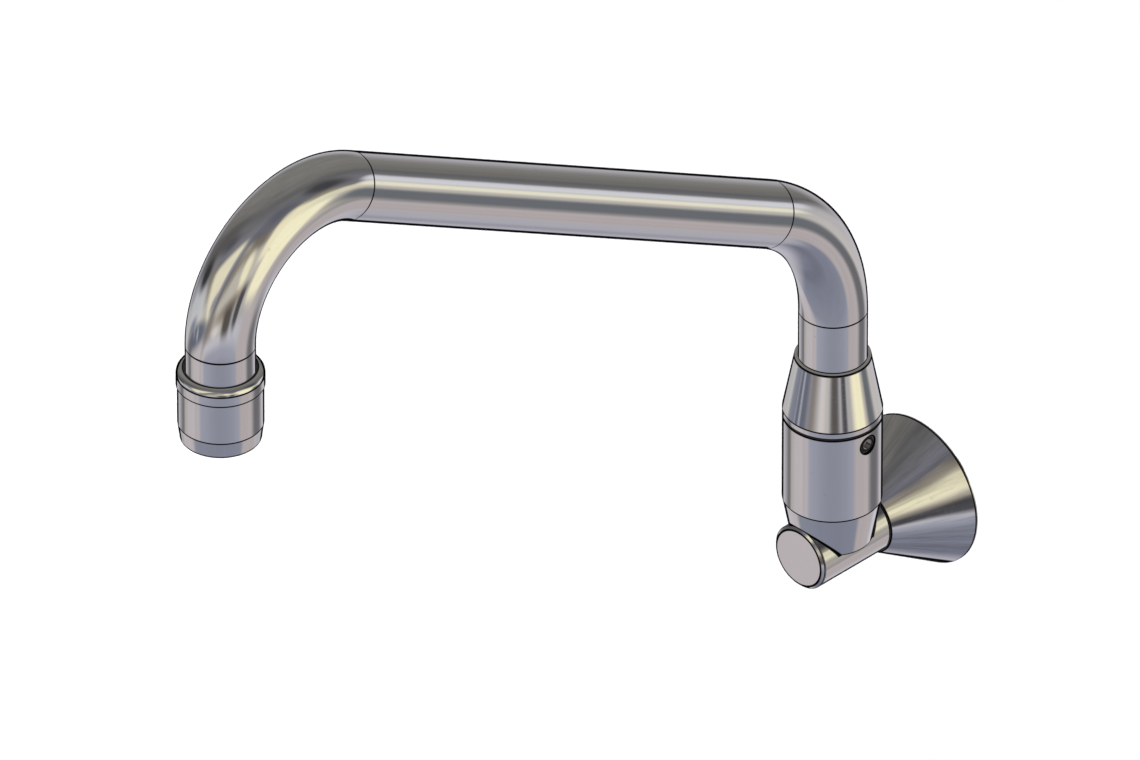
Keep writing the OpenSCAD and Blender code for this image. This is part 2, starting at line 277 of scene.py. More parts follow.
def make_camera():
    """Long lens along the isometric diagonal, so that parallels stay nearly parallel."""
    data = bpy.data.cameras.new("camera")
    data.lens = LENS_MM
    data.sensor_width = SENSOR_MM
    data.clip_end = CLIP_END
    camera = bpy.data.objects.new("camera", data)
    bpy.context.scene.collection.objects.link(camera)
    camera.location = AIM + BACK * EYE_DISTANCE
    camera.rotation_mode = "QUATERNION"
    camera.rotation_quaternion = Matrix((RIGHT, UP, BACK)).transposed().to_quaternion()
    bpy.context.scene.camera = camera


# ---------------------------------------------------------------- studio

# The room that polished metal mirrors is painted on the half-way sphere: (u, v) is how
# far to the right and how far up a mirror faces, seen from the camera, when it shows
# that spot. The floor is at the bottom, the ceiling at the top, windows between them.
FLOOR_TO_CEILING = (
    (-1.00, (150, 152, 168)), (-0.93, (120, 122, 136)), (-0.84, (111, 113, 126)),
    (-0.74, (122, 125, 138)), (-0.60, (130, 133, 145)), (-0.52, (150, 152, 163)),
    (-0.44, (184, 183, 188)), (-0.38, (168, 165, 163)), (-0.30, (182, 176, 164)),
    (-0.10, (184, 180, 167)), (0.03, (158, 153, 141)), (0.12, (112, 110, 113)),
    (0.24, (114, 114, 120)), (0.34, (104, 104, 106)), (0.44, (95, 95, 95)),
    (0.54, (111, 109, 105)), (0.72, (119, 118, 113)), (0.90, (117, 116, 111)),
    (1.00, (150, 149, 150)),
)

# What stands in the room: centre, half sizes, squareness (2 is an ellipse, 5 nearly a
# rectangle), turn in degrees, edge softness, strength and colour
FURNITURE = (
    # pale side walls, a little pink low down
    ((-0.69, -0.47), (0.25, 0.10), 4, 15, 0.30, 0.95, (184, 177, 177)),
    ((0.64, -0.54), (0.21, 0.16), 4, -53, 0.28, 0.95, (174, 166, 164)),
    ((0.90, -0.42), (0.06, 0.20), 3, -8, 0.50, 0.90, (214, 212, 214)),
    ((-0.80, 0.00), (0.13, 0.18), 2, 10, 0.6, 0.9, (184, 187, 189)),
    ((-0.66, -0.08), (0.07, 0.12), 2, 0, 0.6, 0.8, (192, 192, 190)),
    ((-0.60, 0.08), (0.05, 0.16), 2, 0, 0.7, 0.7, (128, 122, 106)),
    ((0.92, 0.00), (0.14, 0.36), 2, 8, 0.5, 0.8, (188, 185, 183)),
    # left window, cut off on its right by a slanting beam
    ((-0.30, -0.02), (0.24, 0.20), 5, 10, 0.20, 1.0, (219, 213, 184)),
    ((-0.44, -0.14), (0.07, 0.13), 4, 8, 0.40, 1.0, (219, 213, 186)),
    ((-0.06, -0.15), (0.27, 0.16), 5, 52, 0.16, 1.0, (182, 177, 164)),
    ((-0.24, -0.07), (0.38, 0.055), 2, 52, 0.7, 1.0, (106, 104, 106)),
    ((-0.24, -0.01), (0.26, 0.030), 2, 50, 0.9, 0.8, (136, 138, 148)),
    ((-0.38, -0.32), (0.10, 0.05), 2, 35, 0.8, 0.9, (130, 120, 108)),
    ((-0.40, -0.15), (0.07, 0.04), 2, 46, 0.7, 0.8, (128, 128, 138)),
    ((-0.12, -0.04), (0.14, 0.05), 2, 48, 0.8, 0.8, (118, 112, 103)),
    ((-0.22, -0.38), (0.08, 0.035), 2, 0, 0.6, 0.9, (204, 198, 194)),
    # right window
    ((0.45, -0.01), (0.165, 0.16), 5, -6, 0.20, 1.0, (229, 222, 186)),
    ((0.52, -0.19), (0.14, 0.18), 4, -8, 0.20, 1.0, (239, 233, 197)),
    ((0.64, 0.02), (0.12, 0.06), 2, 0, 0.6, 0.8, (218, 214, 186)),
    ((0.56, 0.13), (0.11, 0.04), 2, -12, 0.7, 0.9, (126, 122, 106)),
    # dim things on the ledge between them
    ((0.12, 0.09), (0.13, 0.06), 2, -30, 0.6, 0.9, (96, 92, 86)),
    ((0.14, 0.17), (0.20, 0.06), 2, -8, 0.8, 0.8, (96, 97, 108)),
    ((0.08, 0.03), (0.15, 0.08), 2, 10, 0.8, 0.70, (118, 111, 98)),
    ((0.13, -0.12), (0.065, 0.12), 2, 16, 0.5, 0.95, (230, 224, 190)),
    ((0.02, -0.29), (0.24, 0.05), 2, 4, 0.8, 0.75, (104, 92, 80)),
    ((0.04, -0.37), (0.100, 0.08), 3, 0, 0.5, 0.97, (78, 73, 69)),
    ((0.25, -0.34), (0.060, 0.09), 3, -12, 0.4, 0.97, (66, 66, 70)),
    # dark corners of the room
    ((-0.75, 0.21), (0.075, 0.12), 2, -6, 0.55, 0.97, (44, 44, 44)),
    ((-0.62, 0.38), (0.22, 0.08), 2, 20, 0.8, 0.7, (76, 74, 69)),
    ((0.50, 0.29), (0.17, 0.075), 2, -32, 0.6, 0.95, (60, 60, 62)),
    ((0.24, 0.24), (0.18, 0.06), 2, -10, 0.8, 0.7, (80, 81, 88)),
    ((-0.70, -0.26), (0.25, 0.080), 2, -10, 0.5, 0.95, (92, 97, 111)),
    ((0.77, -0.20), (0.075, 0.13), 2, 10, 0.6, 0.95, (104, 106, 110)),
    ((-0.86, -0.31), (0.045, 0.08), 2, -20, 0.6, 0.9, (106, 103, 106)),
    ((-0.82, -0.14), (0.07, 0.05), 2, 0, 0.7, 0.8, (108, 114, 130)),
    ((-0.46, 0.31), (0.12, 0.06), 2, 0, 0.8, 0.8, (72, 72, 74)),
    ((0.83, -0.31), (0.13, 0.09), 2, 40, 0.5, 0.95, (102, 100, 103)),
    ((0.54, -0.74), (0.16, 0.05), 2, 35, 0.6, 0.8, (176, 174, 180)),
    # two bright slits beside the left wall
    ((-0.672, -0.262), (0.020, 0.05), 2, 0, 0.8, 0.65, (178, 180, 186)),
    ((-0.757, -0.212), (0.016, 0.04), 2, 0, 0.8, 0.45, (168, 170, 178)),
    # lamp tube along the right wall
    ((0.77, 0.22), (0.045, 0.075), 2, 4, 0.6, 1.0, (204, 205, 208)),
    ((0.77, 0.08), (0.045, 0.060), 2, 0, 0.6, 1.0, (224, 221, 198)),
    ((0.76, -0.21), (0.04, 0.13), 3, 4, 0.4, 1.0, (102, 106, 109)),
)


BEAM_SCALE = (4.0, 15.0)
RIM_GLOW = (192, 190, 196)
RIM_GLOW_SHARE = 0.75
ROOM_STRENGTH = 1.1
FILL_LIGHT = (250, 250, 255)
FILL_STRENGTH = 0.55


def soft_patch(g, u, v, centre, half, squareness, turn_deg, edge):
    """Mask of a soft-edged ellipse or rounded rectangle."""
    turn = math.radians(turn_deg)
    du = g.math("SUBTRACT", u, centre[0])
    dv = g.math("SUBTRACT", v, centre[1])
    along = g.math("ADD", g.math("MULTIPLY", du, math.cos(turn) / half[0]),
                   g.math("MULTIPLY", dv, math.sin(turn) / half[0]))
    across = g.math("ADD", g.math("MULTIPLY", du, -math.sin(turn) / half[1]),
                    g.math("MULTIPLY", dv, math.cos(turn) / half[1]))
    powers = [g.math("POWER", g.math("ABSOLUTE", part), squareness) for part in (along, across)]
    reach = g.math("POWER", g.math("ADD", *powers), 1 / squareness)
    return g.step(reach, 1 + edge, 1 - edge)


def room_colour(g, direction):
    """Colour of the painted room in a world direction."""
    half_way = g.vector("NORMALIZE", g.vector("ADD", direction, tuple(BACK)))
    u = g.vector("DOT_PRODUCT", half_way, tuple(RIGHT))
    v = g.vector("DOT_PRODUCT", half_way, tuple(UP))
    stops = [((place + 1) / 2, paint(*colour)) for place, colour in FLOOR_TO_CEILING]
    colour = g.ramp(g.math("MULTIPLY_ADD", v, 0.5, 0.5), stops)
    for *shape, strength, tint in FURNITURE:
        mask = g.math("MULTIPLY", soft_patch(g, u, v, *shape), strength)
        colour = g.mix(mask, colour, paint(*tint))
    # beams and fittings, finer and stronger towards the ceiling
    across = g.node("ShaderNodeCombineXYZ")
    for axis, (value, scale) in enumerate(zip((u, v), BEAM_SCALE)):
        g.put(across.inputs[axis], g.math("MULTIPLY", value, scale))
    beams = g.noise(across.outputs[0], 1.0, 4.0, 0.6)
    depth = g.change(v, 0.0, 0.5, 0.20, 0.50)
    shade = g.math("MULTIPLY_ADD", g.math("SUBTRACT", beams, 0.5), depth, 1.0)
    colour = g.vector("MULTIPLY", colour, shade)
    glow = g.math("MULTIPLY", g.step(g.reach(u, v), 0.90, 0.99), RIM_GLOW_SHARE)
    return g.mix(glow, colour, paint(*RIM_GLOW))


def make_world():
    """White to the camera, the painted room to mirrors, soft white to everything else."""
    world = bpy.data.worlds.new("studio")
    bpy.context.scene.world = world
    world.use_nodes = True
    g = Graph(world.node_tree)
    direction = g.node("ShaderNodeTexCoord").outputs["Generated"]
    path = g.node("ShaderNodeLightPath")

    def light(colour, strength):
        made = g.node("ShaderNodeBackground")
        g.put(made.inputs["Color"], colour)
        g.put(made.inputs["Strength"], strength)
        return made.outputs[0]

    def choose(which, no, yes):
        made = g.node("ShaderNodeMixShader")
        for socket, value in zip(made.inputs, (path.outputs[which], no, yes)):
            g.put(socket, value)
        return made.outputs[0]

    lit = choose("Is Glossy Ray", light(paint(*FILL_LIGHT), FILL_STRENGTH),
                 light(room_colour(g, direction), ROOM_STRENGTH))
    out = g.node("ShaderNodeOutputWorld")
    g.put(out.inputs["Surface"], choose("Is Camera Ray", lit, light(paint(255, 255, 255), 1.0)))


LAMP_TARGET = Vector((0, -0.2, 0.1))
FLOOR_HALF = 6.0
FLOOR_DROP = 0.22


def make_lamp(name, place, size, watts):
    """Large soft disc that lights but isn't mirrored."""
    data = bpy.data.lights.new(name, "AREA")
    data.shape = "DISK"
    data.size = size
    data.energy = watts
    lamp = bpy.data.objects.new(name, data)
    bpy.context.scene.collection.objects.link(lamp)
    lamp.location = place
    lamp.rotation_euler = (Vector(place) - LAMP_TARGET).to_track_quat("Z", "Y").to_euler()
    lamp.visible_camera = False
    lamp.visible_glossy = False


def make_floor():
    """Plain pale floor below the fitting, clear when seen from underneath."""
    mesh = bpy.data.meshes.new("floor")
    corners = [(sx * FLOOR_HALF, sy * FLOOR_HALF, -FLOOR_DROP)
               for sx, sy in ((-1, -1), (1, -1), (1, 1), (-1, 1))]
    mesh.from_pydata(corners, [], [(0, 1, 2, 3)])
    floor = bpy.data.objects.new("floor", mesh)
    bpy.context.scene.collection.objects.link(floor)
    material, g = new_material("floor")
    place = g.place()
    tone = g.mix(g.noise(place, 3.0), paint(251, 251, 251), paint(254, 254, 254))
    g.surface(Base_Color=tone, Roughness=0.9, Normal=g.bump(g.noise(place, 180.0), 0.1, 0.0005),
              Alpha=g.math("SUBTRACT", 1.0, g.node("ShaderNodeNewGeometry").outputs["Backfacing"]))
    mesh.materials.append(material)
    floor.visible_glossy = False


# ---------------------------------------------------------------- materials


# Facing (1 minus the cosine to the eye) where the painted dark outline starts and is full
OUTLINE_FACING = (0.755, 0.80)
# Change of that facing where an outline would come out too broad or too thin
THINNER = -0.11
BROADER = 0.25
# Cosines to the picture's viewing direction between which lines turn black
PICTURED = (0.90, 0.97)
# Half widths of a line at its faded edge and at its full core, in line widths
LINE_EDGE, LINE_CORE = 0.60, 0.40
LINE_INK = (22, 22, 24)
WATER_MARK = (196, 194, 190)
BORE_SHADOW = (36, 35, 36)
SHADOW_REACH = 12 * MM
# Depths of polishing grain, cloth and moulding texture for bump
GRAIN_DEPTH = 0.02 * MM
SCREW_GRAIN_DEPTH = 0.03 * MM
MOULD_DEPTH = 0.05 * MM
WEAVE_DEPTH = 0.1 * MM
WIRE_PITCH = 0.45 * MM


def new_material(name):
    material = bpy.data.materials.new(name)
    material.use_nodes = True
    return material, Graph(material.node_tree)


def ring_line(axis, height, width=LINE, ends=False):
    """Dark line around the sides of a piece at a height along Y or Z. Faces square to the
    axis stay clear of it, unless ends is set."""
    def distance(g, place):
        off = g.math("SUBTRACT", g.axes(place)["XYZ".index(axis)], height)
        if ends:
            return off
        normal = g.node("ShaderNodeTexCoord").outputs["Normal"]
        along = g.math("ABSOLUTE", g.axes(normal)["XYZ".index(axis)])
        return g.math("ADD", g.math("ABSOLUTE", off), g.step(along, 0.90, 0.97))
    return distance, width


def hoop_line(radius, centre_y=None, width=LINE):
    """Dark line on a flat round face: at a radius from the pipe's axis, or from the
    upright axis through centre_y."""
    def distance(g, place):
        x, y, z = g.axes(place)
        other = z if centre_y is None else g.math("SUBTRACT", y, centre_y)
        return g.math("SUBTRACT", g.reach(x, other), radius)
    return distance, width


def saddle_line_on_socket():
    """Dark line on the socket where it meets the pipe."""
    def distance(g, place):
        x, _, z = g.axes(place)
        return g.math("SUBTRACT", g.reach(x, z), radius_of("inlet_pipe"))
    return distance, 2.2 * LINE


def saddle_line_on_pipe():
    """Dark line on the pipe around the foot of the socket's cone."""
    slope = (SOCKET_R - SOCKET_FOOT_R) / (SOCKET_CONE_TOP - SOCKET_FOOT)

    def distance(g, place):
        x, y, z = g.axes(place)
        from_axis = g.reach(x, g.math("SUBTRACT", y, AXIS_Y))
        cone_r = g.math("MULTIPLY_ADD", z, slope, SOCKET_FOOT_R - slope * SOCKET_FOOT)
        beside = g.math("SUBTRACT", from_axis, cone_r)
        below = g.math("SUBTRACT", SOCKET_FOOT, z)
        return g.math("MAXIMUM", beside, below)
    return distance, 1.6 * LINE


def from_screw_axis(g, place):
    """Distance from the set screw's axis."""
    _, y, z = g.axes(place)
    return g.reach(g.math("SUBTRACT", y, AXIS_Y), g.math("SUBTRACT", z, SCREW_Z))


def screw_hole_line():
    """Dark line on the socket around the set screw's hole."""
    def distance(g, place):
        behind = g.step(g.axes(place)[0], 0.0, -FIT)
        return g.math("ADD", behind, g.math("SUBTRACT", from_screw_axis(g, place), SCREW_R))
    return distance, 1.8 * LINE


def thin_in_lower_bend(g, place):
    """Less outline on the hollow side of the lower bend, which turns out of sight slowly."""
    _, y, z = g.axes(place)
    outward = g.math("SUBTRACT", AXIS_Y - LOWER_BEND_R, y)
    upward = g.math("SUBTRACT", z, RISER_TOP)
    past_bend = g.math("ADD", g.math("MULTIPLY", outward, math.cos(ARM_RISE)),
                       g.math("MULTIPLY", upward, math.sin(ARM_RISE)))
    on_bend = g.math("MINIMUM", g.step(upward, 4 * MM, 32 * MM), g.step(past_bend, 5 * MM, -2 * MM))
    hollow = g.step(g.reach(outward, upward), LOWER_BEND_R, LOWER_BEND_R - 0.6 * TUBE_R)
    return g.math("MULTIPLY", g.math("MULTIPLY", on_bend, hollow), THINNER)


def broad_on_collar_round(g, place):
    """More outline on the collar's rounded shoulder, which turns out of sight at once."""
    foot = high("outlet_collar").z - COLLAR_ROUND
    return g.math("MULTIPLY", g.step(g.axes(place)[2], foot, foot + 0.3 * MM), BROADER)


def seen_as_pictured(g):
    """1 from about the picture's side, where outlines are drawn as black as in it."""
    to_eye = g.node("ShaderNodeNewGeometry").outputs["Incoming"]
    return g.step(g.vector("DOT_PRODUCT", to_eye, tuple(BACK)), *PICTURED)


def line_mask(g, place, lines, outline=None):
    """1 on the given lines, and on a painted dark rim where the surface turns out of sight,
    standing in for the dark that polished metal mirrors there. outline makes that rim broader or
    thinner from place to place."""
    facing = g.node("ShaderNodeLayerWeight").outputs["Facing"]
    if outline:
        facing = g.math("MULTIPLY_ADD", outline(g, place), seen_as_pictured(g), facing)
    seen = g.node("ShaderNodeLightPath").outputs["Is Camera Ray"]
    # Painted dark rim: the colour turns to line ink where the surface turns out of sight, for camera rays only
    mask = g.math("MULTIPLY", seen, g.step(facing, *OUTLINE_FACING))
    for distance, width in lines:
        off = g.math("ABSOLUTE", distance(g, place))
        mask = g.math("MAXIMUM", mask, g.step(off, LINE_EDGE * width, LINE_CORE * width))
    return mask


def painted_hollow_shade(g):
    """How far a spot is hidden from the room, as a bore or a deep corner is: the strength of the painted shade in
    the colour of bores and deep corners.
    """
    hollow = g.node("ShaderNodeAmbientOcclusion", samples=6)
    g.put(hollow.inputs["Distance"], SHADOW_REACH)
    return g.change(hollow.outputs["AO"], 0.55, 0.1, 0.0, 0.85)


def painted_cone_reflection(g, place):
    """Painted reflection on the rosette's cone: darker rays out from the pipe, fading out below its axis."""
    x, y, z = g.axes(place)
    turn = g.math("ARCTAN2", z, x)
    ray = g.node("ShaderNodeCombineXYZ")
    g.put(ray.inputs[0], g.math("MULTIPLY", turn, 7.0))
    g.put(ray.inputs[1], g.math("MULTIPLY", y, 22.0))
    bright = g.change(g.noise(ray.outputs[0], 1.0, 5.0, 0.65), 0.30, 0.56, 0.62, 1.0)
    return g.math("MAXIMUM", bright, g.change(z, -4 * MM, -16 * MM, 0.0, 0.94))


def chrome(name, tint, grain_axes, lines=(), shade=None, waves=0.0, outline=None):
    """Polished chrome: fine grain along the polishing direction, hair scratches, dried
    water marks, dark lines where surfaces meet, a painted dark rim where it turns out of sight and
    painted shade in bores and deep corners. shade paints more shade into it from place to place,
    waves is how far the sheet under it bulges, and outline is as in line_mask."""
    material, g = new_material(name)
    place = g.place()
    fine = g.noise(g.vector("MULTIPLY", place, grain_axes), 1.0, 4.0, 0.7)
    coarse_axes = tuple(3.3 * a for a in grain_axes)
    scratch = g.step(g.noise(g.vector("MULTIPLY", place, coarse_axes), 1.0, 2.0, 0.5), 0.66, 0.71)
    cloud = g.noise(place, 38.0, 4.0, 0.6)
    spots = g.step(g.cells(place, 150.0), 0.17, 0.10)
    marks = g.math("MULTIPLY", spots, g.step(cloud, 0.56, 0.66))
    dark = line_mask(g, place, lines, outline)
    black = g.math("MULTIPLY", dark, seen_as_pictured(g))
    clean = g.mix(cloud, paint(*[c - 6 for c in tint]), paint(*tint))
    surface_tone = g.mix(g.math("MULTIPLY", marks, 0.22), clean, paint(*WATER_MARK))
    # Painted shade: darkens the colour in bores and deep corners
    surface_tone = g.mix(painted_hollow_shade(g), surface_tone, paint(*BORE_SHADOW))
    # Painted reflection and shade from shade, multiplied into the colour
    if shade:
        surface_tone = g.vector("MULTIPLY", surface_tone, shade(g, place))
    rough = g.change(cloud, 0.3, 0.7, 0.055, 0.085)
    for mask, rougher in ((scratch, 0.04), (marks, 0.12), (dark, 0.30)):
        rough = g.math("MULTIPLY_ADD", mask, rougher, rough)
    grain = g.bump(fine, 0.05, GRAIN_DEPTH)
    if waves:
        grain = g.bump(g.noise(place, 34.0, 0.0, 0.0), 1.0, waves, grain)
    g.surface(Metallic=1.0, Base_Color=g.mix(dark, surface_tone, paint(*LINE_INK)), Roughness=rough,
              Specular_Tint=g.mix(black, paint(255, 255, 255), paint(0, 0, 0)),
              Normal=g.bump(scratch, 0.07, GRAIN_DEPTH, grain))
    return material


def edge_mask(g, radius):
    """1 along edges and in corners, 0 on open surfaces."""
    rounded = g.node("ShaderNodeBevel", samples=6)
    g.put(rounded.inputs["Radius"], radius)
    flat = g.node("ShaderNodeNewGeometry").outputs["Normal"]
    return g.step(g.vector("DOT_PRODUCT", rounded.outputs[0], flat), 0.992, 0.93)


def turned_brass(name):
    """Machined brass, a little dull, with dark grime on its edges and corners and painted shade in its bores and
    deep corners.
    """
    material, g = new_material(name)
    place = g.place()
    cloud = g.noise(place, 90.0, 5.0, 0.6)
    rings = g.noise(g.vector("MULTIPLY", place, (90.0, 2200.0, 90.0)), 1.0, 2.0)
    grime = g.math("MULTIPLY", edge_mask(g, 0.3 * MM), 0.5)
    tone = g.mix(g.step(cloud, 0.4, 0.65), paint(236, 208, 146), paint(206, 170, 106))
    surface_tone = g.mix(grime, tone, paint(74, 50, 26))
    # Painted shade: darkens the colour in bores and deep corners
    g.surface(Metallic=1.0, Base_Color=g.mix(painted_hollow_shade(g), surface_tone, paint(40, 28, 16)),
              Roughness=g.change(cloud, 0.3, 0.7, 0.2, 0.36),
              Normal=g.bump(rings, 0.08, GRAIN_DEPTH))
    return material


def dark_steel(name):
    """Blackened screw steel, bare around its key hole and rubbed bare on its edges."""
    material, g = new_material(name)
    place = g.place()
    cloud = g.noise(place, 420.0, 4.0, 0.6)
    worn = g.math("MULTIPLY", edge_mask(g, 0.22 * MM), g.step(cloud, 0.38, 0.6))
    black = g.step(from_screw_axis(g, place), SCREW_KEY_R, SCREW_KEY_R + 0.5 * MM)
    tone = g.mix(black, paint(186, 185, 183), g.mix(cloud, paint(20, 20, 21), paint(52, 51, 52)))
    g.surface(Metallic=1.0, Base_Color=g.mix(worn, tone, paint(168, 166, 164)),
              Roughness=g.change(cloud, 0.3, 0.7, 0.3, 0.5),
              Normal=g.bump(cloud, 0.12, SCREW_GRAIN_DEPTH))
    return material


def wire_steel(name):
    """Stainless wire cloth: a fine weave on the screens."""
    material, g = new_material(name)
    place = g.place()
    turns = 2 * math.pi / WIRE_PITCH
    waves = [g.math("SINE", g.math("MULTIPLY", part, turns)) for part in list(g.axes(place))[:2]]
    weave = g.change(g.math("MULTIPLY", *waves), -1.0, 1.0, 0.0, 1.0)
    cloth = g.mix(weave, paint(120, 120, 121), paint(192, 192, 190))
    # Painted shade: darkens the cloth's colour in its hollows
    g.surface(Metallic=1.0, Base_Color=g.mix(painted_hollow_shade(g), cloth, paint(40, 40, 41)),
              Roughness=g.change(weave, 0.0, 1.0, 0.5, 0.25),
              Normal=g.bump(weave, 0.5, WEAVE_DEPTH))
    return material


def moulded(name, light, dark, roughness, grain):
    """Moulded plastic or rubber: slight tone drift, fine texture, rubbed edges."""
    material, g = new_material(name)
    place = g.place()
    cloud = g.noise(place, 120.0, 4.0, 0.6)
    rubbed = g.math("MULTIPLY", edge_mask(g, 0.2 * MM), 0.3)
    tone = g.mix(rubbed, g.mix(cloud, paint(*dark), paint(*light)), paint(*light))
    g.surface(Base_Color=tone, Roughness=g.change(cloud, 0.3, 0.7, roughness, roughness + 0.15),
              Normal=g.bump(g.noise(place, grain, 3.0, 0.7), 0.2, MOULD_DEPTH))
    return material


CHROME = (248, 247, 250)
# Noise scales along x, y and z that lay the grain round a turned piece or along the tube
TURNED_Z = (60.0, 60.0, 2600.0)
TURNED_Y = (60.0, 2600.0, 60.0)
DRAWN_TUBE = (900.0, 40.0, 60.0)

LOOKS = {
    "tube_chrome": chrome("tube_chrome", CHROME, DRAWN_TUBE),
    "turned_chrome": chrome("turned_chrome", CHROME, TURNED_Z),
    # The rosette's colour carries painted reflection streaks along its cone
    "rosette_chrome": chrome("rosette_chrome", CHROME, TURNED_Y, [
        ring_line("Y", low("wall_rosette").y), hoop_line(ROSETTE_NOSE_R),
        ring_line("Y", -ROSETTE_RIM)], painted_cone_reflection, 1.2 * MM),
    "brass": turned_brass("brass"),
    "rubber": moulded("rubber", (34, 34, 35), (18, 18, 19), 0.5, 2600.0),
    "black_polymer": moulded("black_polymer", (20, 20, 21), (9, 9, 10), 0.5, 1800.0),
    "slide_polymer": moulded("slide_polymer", (232, 231, 222), (214, 212, 202), 0.35, 1500.0),
    "aerator_polymer": moulded("aerator_polymer", (222, 225, 226), (203, 207, 209), 0.25, 1500.0),
    "screw_steel": dark_steel("screw_steel"),
    "screen_steel": wire_steel("screen_steel"),
}

# Chrome of the pieces that have their own lines
NODE_LOOKS = {
    "socket_body": chrome("socket_chrome", CHROME, TURNED_Z, [
        ring_line("Z", SOCKET_CONE_TOP), ring_line("Z", high("socket_body").z, 1.7 * LINE, True),
        ring_line("Z", SOCKET_FOOT, 1.6 * LINE), saddle_line_on_socket(), screw_hole_line()]),
    "cone_sleeve": chrome("sleeve_chrome", CHROME, TURNED_Z, [
        ring_line("Z", low("cone_sleeve").z, 1.2 * LINE, True),
        ring_line("Z", low("cone_sleeve").z + SLEEVE_BAND),
        ring_line("Z", high("cone_sleeve").z), hoop_line(SLEEVE_TOP_R, AXIS_Y, 0.5 * LINE)]),
    "spout_tube": chrome("riser_chrome", CHROME, DRAWN_TUBE, [
        ring_line("Z", high("cone_sleeve").z, 1.6 * LINE)], outline=thin_in_lower_bend),
    "inlet_pipe": chrome("pipe_chrome", CHROME, TURNED_Y, [
        saddle_line_on_pipe(), ring_line("Y", low("wall_rosette").y, 1.6 * LINE),
        ring_line("Y", low("inlet_pipe").y)]),
    "end_plug": chrome("plug_chrome", CHROME, TURNED_Y, [
        ring_line("Y", low("inlet_pipe").y, 1.1 * LINE),
        hoop_line(TUBE_R - PLUG_CHAMFER - 0.3 * MM, None, 1.4 * LINE)]),
    "outlet_collar": chrome("collar_chrome", CHROME, TURNED_Z, [
        ring_line("Z", high("outlet_collar").z - COLLAR_ROUND, 1.2 * LINE),
        ring_line("Z", COLLAR_FOOT, 1.8 * LINE), hoop_line(COLLAR_RECESS_R, OUTLET_Y)],
        outline=broad_on_collar_round),
    "aerator_housing": chrome("housing_chrome", CHROME, TURNED_Z, [
        ring_line("Z", high("aerator_housing").z),
        ring_line("Z", low("aerator_housing").z + HOUSING_TAPER),
        ring_line("Z", low("aerator_housing").z, 2.2 * LINE)]),
}

SEAM = chrome("seam_line", (26, 26, 28), TURNED_Z)

slot_of = {part["node"]: part["material_slot"] for part in frame["record"]["subparts"]}
body_of = {node: body for body, nodes in frame["record"]["behaviour"]["bodies"].items()
           for node in nodes}


def dress(piece, node):
    """Gives a piece the look of its CAD node. Pieces mirror the room and not each other."""
    piece.data.materials.clear()
    piece.data.materials.append(NODE_LOOKS.get(node, LOOKS[slot_of[node]]))
    piece.visible_glossy = False


for node_name, cad_object in frame["nodes"].items():
    dress(cad_object, node_name)

# ---------------------------------------------------------------- meshes


def add_piece(name, node, verts, faces, normals=None):
    """Makes a smooth mesh that stands for a CAD node and rides on its body."""
    mesh = bpy.data.meshes.new(name)
    mesh.from_pydata(verts, [], faces)
    mesh.update()
    mesh.shade_smooth()
    if normals is not None:
        mesh.normals_split_custom_set_from_vertices(normals)
    piece = bpy.data.objects.new(name, mesh)
    bpy.context.scene.collection.objects.link(piece)
    dress(piece, node)
    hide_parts(node)
    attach(piece, body_of[node])
    return piece


def rounded_outline(corners, arc_steps=4):
    """Points and outward normals along a closed outline whose corners are rounded.
    Corners are (radius, height, rounding) and run anticlockwise. Two corners may lie on
    the axis, where a solid piece starts and ends."""
    points = []
    count = len(corners)
    for k in range(count):
        before, here, after = (Vector(corners[(k + d) % count][:2]) for d in (-1, 0, 1))
        if here.x == 0:
            points.append((here, Vector((0, 1 if after.x == 0 else -1))))
            continue
        into, out = (here - before).normalized(), (after - here).normalized()
        turn = math.atan2(into.x * out.y - into.y * out.x, into.dot(out))
        side = Vector((into.y, -into.x))
        rounding = corners[k][2]
        bulge = 1 if turn > 0 else -1
        start = here - into * rounding * math.tan(abs(turn) / 2)
        centre = start - side * rounding * bulge
        for step in range(arc_steps + 1):
            angle = turn * step / arc_steps
            normal = Vector((side.x * math.cos(angle) - side.y * math.sin(angle),
                             side.x * math.sin(angle) + side.y * math.cos(angle)))
            points.append((centre + normal * rounding * bulge, normal))
    return points


THREAD_CREST, THREAD_ROOT = 0.14, 0.86


def thread_depth(turns, depth):
    """Depth of a V thread with blunt crests and roots, after so many turns."""
    along = abs(2 * (turns % 1.0) - 1)
    return depth * min(1.0, max(0.0, (along - THREAD_CREST) / (THREAD_ROOT - THREAD_CREST)))


# How near a point's radius must be to the thread's to be cut by it
ON_THREAD = 0.2 * FIT


def with_thread(points, thread, rings_per_turn=12):
    """Adds points along the outline's straight that carries the thread."""
    start, end, radius = thread[:3]
    made = []
    for k, (point, normal) in enumerate(points):
        made.append((point, normal))
        after = points[(k + 1) % len(points)][0]
        on_thread = all(abs(p.x - radius) < ON_THREAD for p in (point, after))
        if on_thread and abs(after.y - point.y) > 0.5 * abs(end - start):
            count = round(rings_per_turn * abs(after.y - point.y) / thread[3])
            made += [(point.lerp(after, i / count), normal) for i in range(1, count)]
    return made


